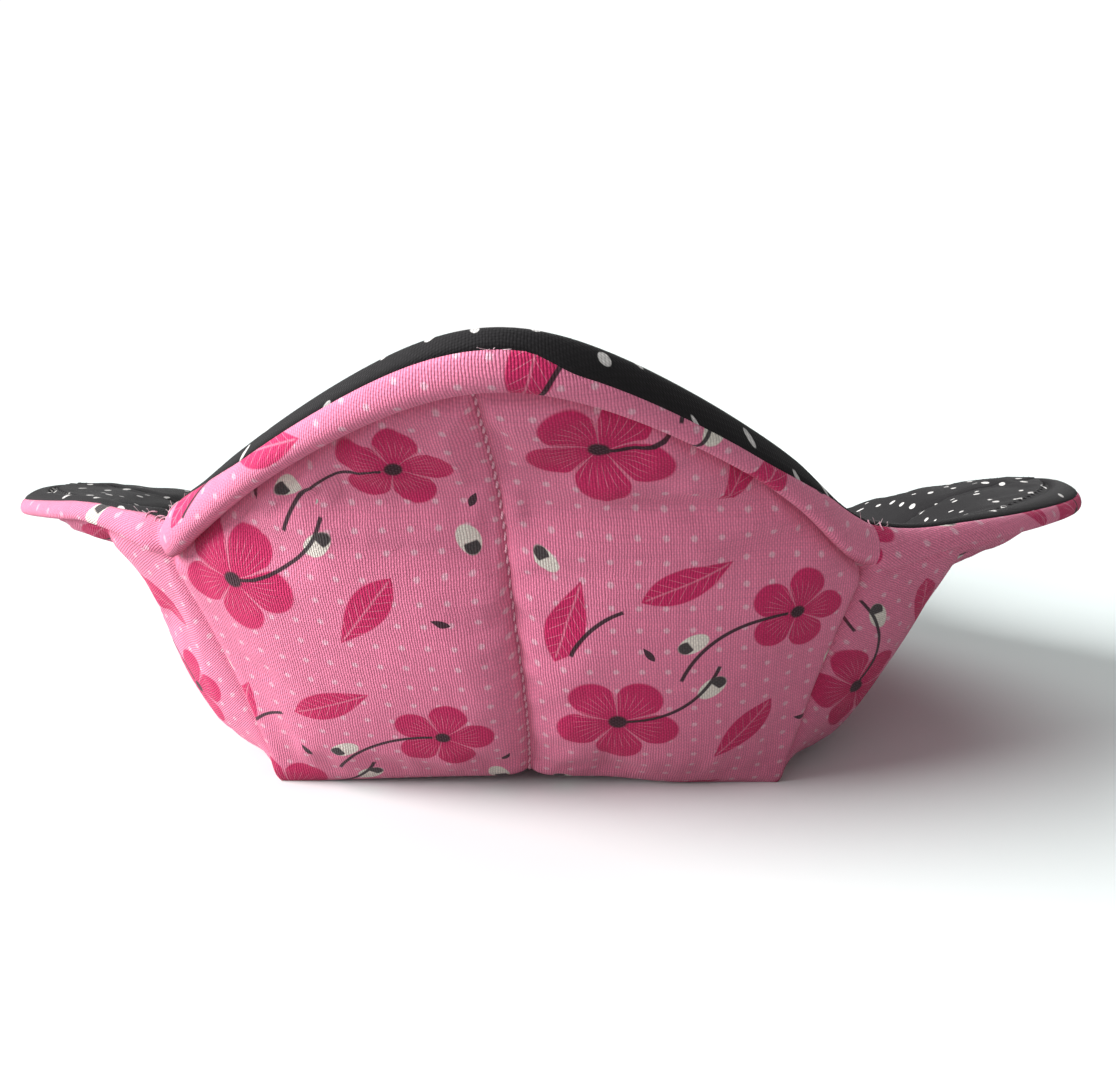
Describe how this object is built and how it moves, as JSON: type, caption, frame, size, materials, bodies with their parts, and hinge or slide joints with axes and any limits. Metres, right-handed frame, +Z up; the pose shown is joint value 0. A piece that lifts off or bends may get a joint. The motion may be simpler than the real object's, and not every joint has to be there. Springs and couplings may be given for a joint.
{
  "type": "microwave bowl cozy",
  "caption": "Quilted cotton bowl cozy: a padded square base with four rounded lobes that rise into a bowl with a rolled rim.",
  "frame": {"origin": "middle of the underside of the square base, on the table", "axes": "+Z up, -Y towards the front lobe, +X towards the lobe at the viewer's right"},
  "size_m": [0.2344, 0.2023, 0.0865],
  "materials": {
    "outer_cloth": "plain-weave cotton with pale pin dots and a printed motif",
    "lining_cloth": "plain-weave cotton with small white dots",
    "batting": "lofted cotton wadding",
    "outer_thread": "sewing thread",
    "lining_thread": "sewing thread"
  },
  "bodies": {
    "root": {"outer_shell": "outer_cloth", "outer_batting": "batting", "lining_batting": "batting", "lining": "lining_cloth", "outer_quilting_front_to_back": "outer_thread", "outer_quilting_side_to_side": "outer_thread", "lining_quilting_front_to_back": "lining_thread", "lining_quilting_side_to_side": "lining_thread", "outer_topstitch": "outer_thread", "lining_topstitch": "lining_thread"}
  },
  "joints": []
}
